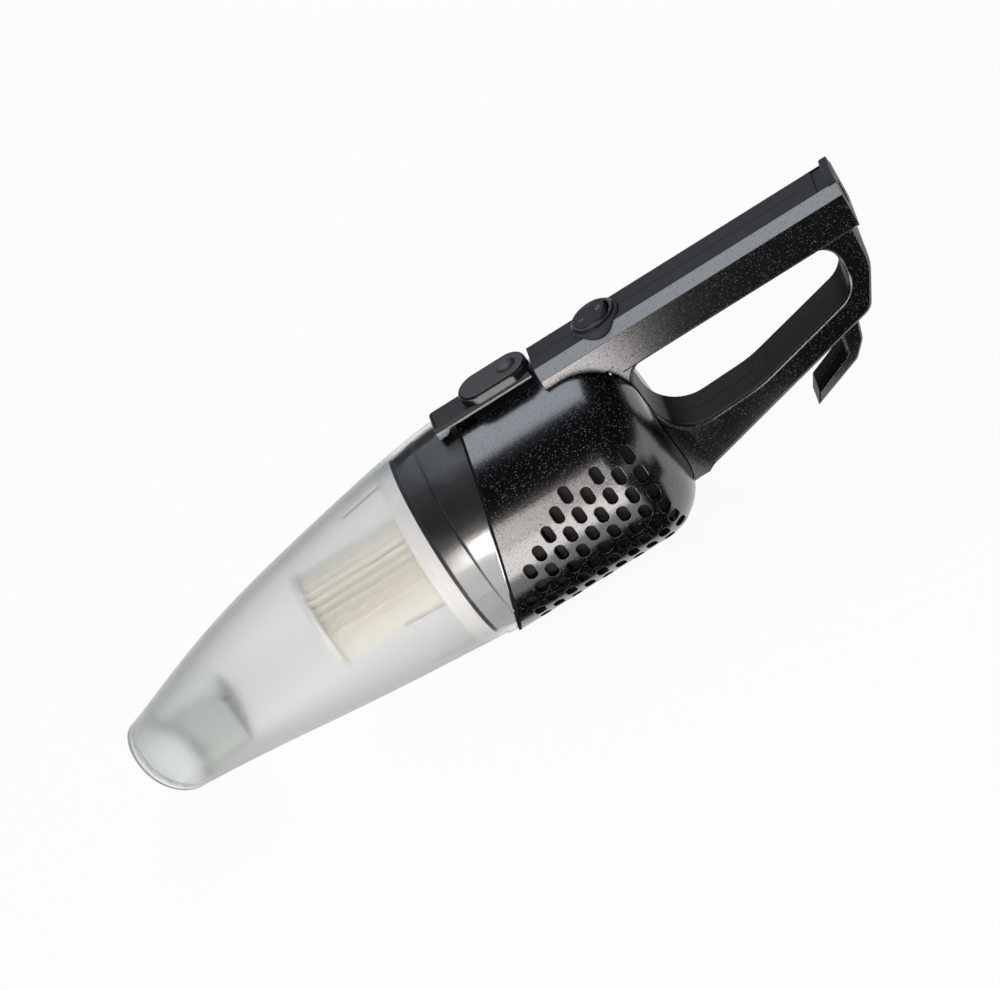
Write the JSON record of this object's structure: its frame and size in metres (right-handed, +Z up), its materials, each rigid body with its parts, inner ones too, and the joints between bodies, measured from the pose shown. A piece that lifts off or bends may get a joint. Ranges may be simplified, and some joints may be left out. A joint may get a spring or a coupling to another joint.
{
  "type": "hand-held vacuum cleaner",
  "caption": "Hand-held vacuum cleaner: frosted dust cup with pleated filter, slotted motor body, release latch, rocker switch and a looped handle with a cord hook.",
  "frame": {"origin": "under the middle of the length, on the belly of the motor body", "axes": "+X along the motor axis to the handle end, +Z up through the handle top, +Y to the far side"},
  "size_m": [0.4333, 0.1068, 0.1202],
  "materials": {
    "flake_black": "gloss black with fine metal flake",
    "satin_black": "satin",
    "gloss_black": "gloss",
    "matte_black": "matte",
    "frosted_clear": "frosted translucent plastic",
    "smoke_grey": "translucent grey plastic",
    "white_plastic": "satin",
    "filter_paper": "pleated paper",
    "silicone": "soft",
    "rubber": "matte",
    "steel": "plain",
    "cast_aluminium": "as cast",
    "sheet_aluminium": "bright",
    "lamination": "dark",
    "copper": "enamelled copper",
    "brass": "bright",
    "carbon": "carbon block"
  },
  "bodies": {
    "housing": {"motor_body": "flake_black", "handle_near": "flake_black", "handle_far": "flake_black", "handle_screws": "steel", "top_strip": "satin_black", "front_collar": "gloss_black", "exhaust_baffles": "matte_black", "collar_seal": "rubber", "fan_shroud": "steel", "front_bracket": "cast_aluminium", "rear_bracket": "cast_aluminium", "front_bearing": "steel", "rear_bearing": "steel", "stator_core": "lamination", "field_coils": "copper", "brush_holders": "brass", "carbon_brushes": "carbon", "front_mount": "rubber", "rear_mount": "rubber", "switch_body": "gloss_black", "switch_terminals": "brass", "latch_pin": "steel", "latch_spring": "steel", "cord_gland": "rubber"},
    "rotor": {"motor_shaft": "steel", "armature": "lamination", "armature_windings": "copper", "commutator": "copper", "impeller": "sheet_aluminium", "impeller_nut": "steel"},
    "cup": {"dust_cup": "frosted_clear", "inlet_duct": "smoke_grey", "flap_pin": "steel"},
    "flap": {"inlet_flap": "silicone"},
    "filter": {"filter_base": "white_plastic", "filter_pleats": "filter_paper", "filter_cap": "white_plastic", "filter_gasket": "rubber"},
    "latch": {"latch_lever": "satin_black", "release_button": "satin_black"},
    "rocker": {"switch_rocker": "satin_black"}
  },
  "joints": [
    {"name": "cup_slide", "type": "slide", "parent": "housing", "child": "cup", "axis": [-1, 0, 0], "range_m": [0, 0.19]},
    {"name": "filter_slide", "type": "slide", "parent": "housing", "child": "filter", "axis": [-1, 0, 0], "range_m": [0, 0.095]},
    {"name": "flap_swing", "type": "hinge", "parent": "cup", "child": "flap", "pos_m": [-0.16221, 0, 0.0491], "axis": [0, -1, 0], "range_deg": [0, 60]},
    {"name": "latch_tilt", "type": "hinge", "parent": "housing", "child": "latch", "pos_m": [0.02264, 0, 0.11124], "axis": [0, 1, 0], "range_deg": [0, 6], "stiffness_Nm_per_rad": 0.8, "deforming": ["latch_spring"]},
    {"name": "rocker_tilt", "type": "hinge", "parent": "housing", "child": "rocker", "pos_m": [0.08584, 0, 0.1136], "axis": [0, 1, 0], "range_deg": [0, 16]},
    {"name": "rotor_spin", "type": "hinge", "parent": "housing", "child": "rotor", "pos_m": [0.01164, 0, 0.0534], "axis": [1, 0, 0], "continuous": true}
  ],
  "couplings": [
    {"joint": "filter_slide", "follows": "cup_slide", "ratio": 0.5}
  ]
}
